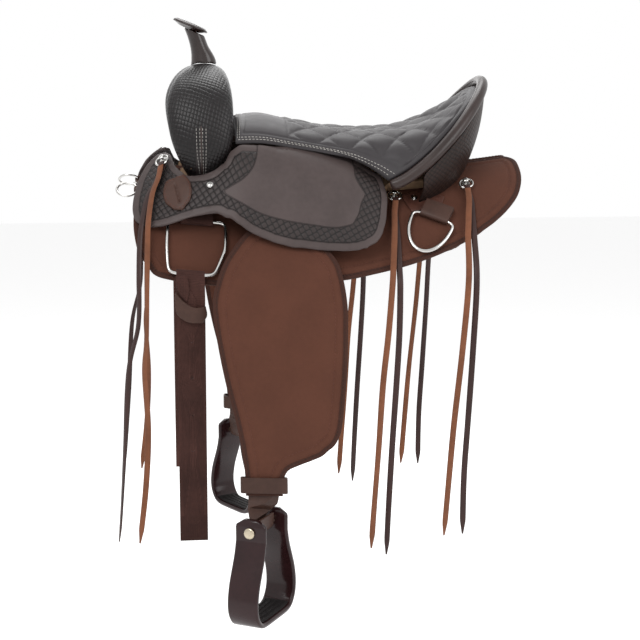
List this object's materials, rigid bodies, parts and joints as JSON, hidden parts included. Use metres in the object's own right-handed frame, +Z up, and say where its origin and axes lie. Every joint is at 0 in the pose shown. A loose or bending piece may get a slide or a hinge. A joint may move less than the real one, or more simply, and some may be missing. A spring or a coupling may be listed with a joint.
{
  "type": "western trail saddle",
  "caption": "Western trail saddle with a swell fork, horn, quilted padded seat, tooled leather jockeys, fabric skirts and fenders, swinging stirrups, rings, cinch straps and strings.",
  "frame": {"origin": "the middle of the line along a horse's back on which the saddle lies", "axes": "+X towards the cantle, -X towards the horn, -Y the rider's left, +Z up"},
  "size_m": [0.652, 0.735, 0.9062],
  "materials": {
    "cordura": "woven, matte",
    "fleece": "pile",
    "ground_leather": "rough",
    "seat_leather": "quilted, satin",
    "smooth_leather": "smooth, satin",
    "steel": "polished",
    "stirrup_resin": "glossy",
    "strap_leather": "smooth",
    "string_leather": "split, matte",
    "tooled_leather": "tooled, satin",
    "tree_wood": "sanded",
    "webbing": "woven, matte"
  },
  "bodies": {
    "saddle": {"tree_fork": "tree_wood", "fork_cover": "tooled_leather", "horn_neck": "smooth_leather", "horn_cap": "smooth_leather", "seat_cushion": "seat_leather", "ground_seat": "ground_leather", "cantle_cover": "tooled_leather", "tree_cantle": "tree_wood", "cantle_roll": "smooth_leather", "skirt_lining_left": "fleece", "skirt_left": "cordura", "tree_bar_left": "tree_wood", "jockey_left": "tooled_leather", "rigging_ring_left": "steel", "rigging_tab_left": "strap_leather", "rear_dee_tab_left": "strap_leather", "breast_tab_left": "strap_leather", "string_stud_front_left": "steel", "string_ring_front_left": "steel", "saddle_string_front_left": "string_leather", "string_stud_middle_left": "steel", "string_ring_middle_left": "steel", "saddle_string_middle_left": "string_leather", "string_stud_rear_left": "steel", "string_ring_rear_left": "steel", "saddle_string_rear_left": "string_leather", "skirt_lining_right": "fleece", "skirt_right": "cordura", "tree_bar_right": "tree_wood", "jockey_right": "tooled_leather", "rigging_ring_right": "steel", "rigging_tab_right": "strap_leather", "rear_dee_tab_right": "strap_leather", "breast_tab_right": "strap_leather", "string_stud_front_right": "steel", "string_ring_front_right": "steel", "saddle_string_front_right": "string_leather", "string_stud_middle_right": "steel", "string_ring_middle_right": "steel", "saddle_string_middle_right": "string_leather", "string_stud_rear_right": "steel", "string_ring_rear_right": "steel", "saddle_string_rear_right": "string_leather", "latigo_carrier": "strap_leather"},
    "fender_left_body": {"fender_left": "cordura", "stirrup_leather_left": "strap_leather", "hobble_strap_left": "strap_leather"},
    "stirrup_left_body": {"stirrup_left": "stirrup_resin", "stirrup_bolt_left": "steel"},
    "cinch_strap_left_body": {"cinch_strap_left": "webbing"},
    "rear_dee_left_body": {"rear_dee_left": "steel"},
    "breast_ring_left_body": {"breast_ring_left": "steel"},
    "fender_right_body": {"fender_right": "cordura", "stirrup_leather_right": "strap_leather", "hobble_strap_right": "strap_leather"},
    "stirrup_right_body": {"stirrup_right": "stirrup_resin", "stirrup_bolt_right": "steel"},
    "cinch_strap_right_body": {"cinch_strap_right": "webbing"},
    "rear_dee_right_body": {"rear_dee_right": "steel"},
    "breast_ring_right_body": {"breast_ring_right": "steel"}
  },
  "joints": [
    {"name": "fender_left_swing", "type": "hinge", "parent": "saddle", "child": "fender_left_body", "pos_m": [-0.092, -0.15476, -0.04264], "axis": [0, -0.8829, 0.4695], "range_deg": [-16, 16]},
    {"name": "stirrup_left_turn", "type": "hinge", "parent": "fender_left_body", "child": "stirrup_left_body", "pos_m": [-0.119, -0.2945, -0.497], "axis": [0.5, 0.866, 0], "range_deg": [-40, 40]},
    {"name": "cinch_strap_left_swing", "type": "hinge", "parent": "saddle", "child": "cinch_strap_left_body", "pos_m": [-0.22, -0.20744, -0.12328], "axis": [-0.996, 0, 0.0896], "range_deg": [0, 55]},
    {"name": "rear_dee_left_flip", "type": "hinge", "parent": "saddle", "child": "rear_dee_left_body", "pos_m": [0.166, -0.14682, -0.04566], "axis": [-0.8882, 0.344, 0.3046], "range_deg": [0, 110]},
    {"name": "breast_ring_left_lift", "type": "hinge", "parent": "saddle", "child": "breast_ring_left_body", "pos_m": [-0.2991, -0.09448, -0.00361], "axis": [0, 0.8209, 0.5711], "range_deg": [0, 50]},
    {"name": "fender_right_swing", "type": "hinge", "parent": "saddle", "child": "fender_right_body", "pos_m": [-0.092, 0.15476, -0.04264], "axis": [0, -0.8829, -0.4695], "range_deg": [-16, 16]},
    {"name": "stirrup_right_turn", "type": "hinge", "parent": "fender_right_body", "child": "stirrup_right_body", "pos_m": [-0.119, 0.2945, -0.497], "axis": [0.5, -0.866, 0], "range_deg": [-40, 40]},
    {"name": "cinch_strap_right_swing", "type": "hinge", "parent": "saddle", "child": "cinch_strap_right_body", "pos_m": [-0.22, 0.20744, -0.12328], "axis": [0.996, 0, -0.0896], "range_deg": [0, 55]},
    {"name": "rear_dee_right_flip", "type": "hinge", "parent": "saddle", "child": "rear_dee_right_body", "pos_m": [0.166, 0.14682, -0.04566], "axis": [0.8882, 0.344, -0.3046], "range_deg": [0, 110]},
    {"name": "breast_ring_right_lift", "type": "hinge", "parent": "saddle", "child": "breast_ring_right_body", "pos_m": [-0.2991, 0.09448, -0.00361], "axis": [0, 0.8209, -0.5711], "range_deg": [0, 50]}
  ]
}
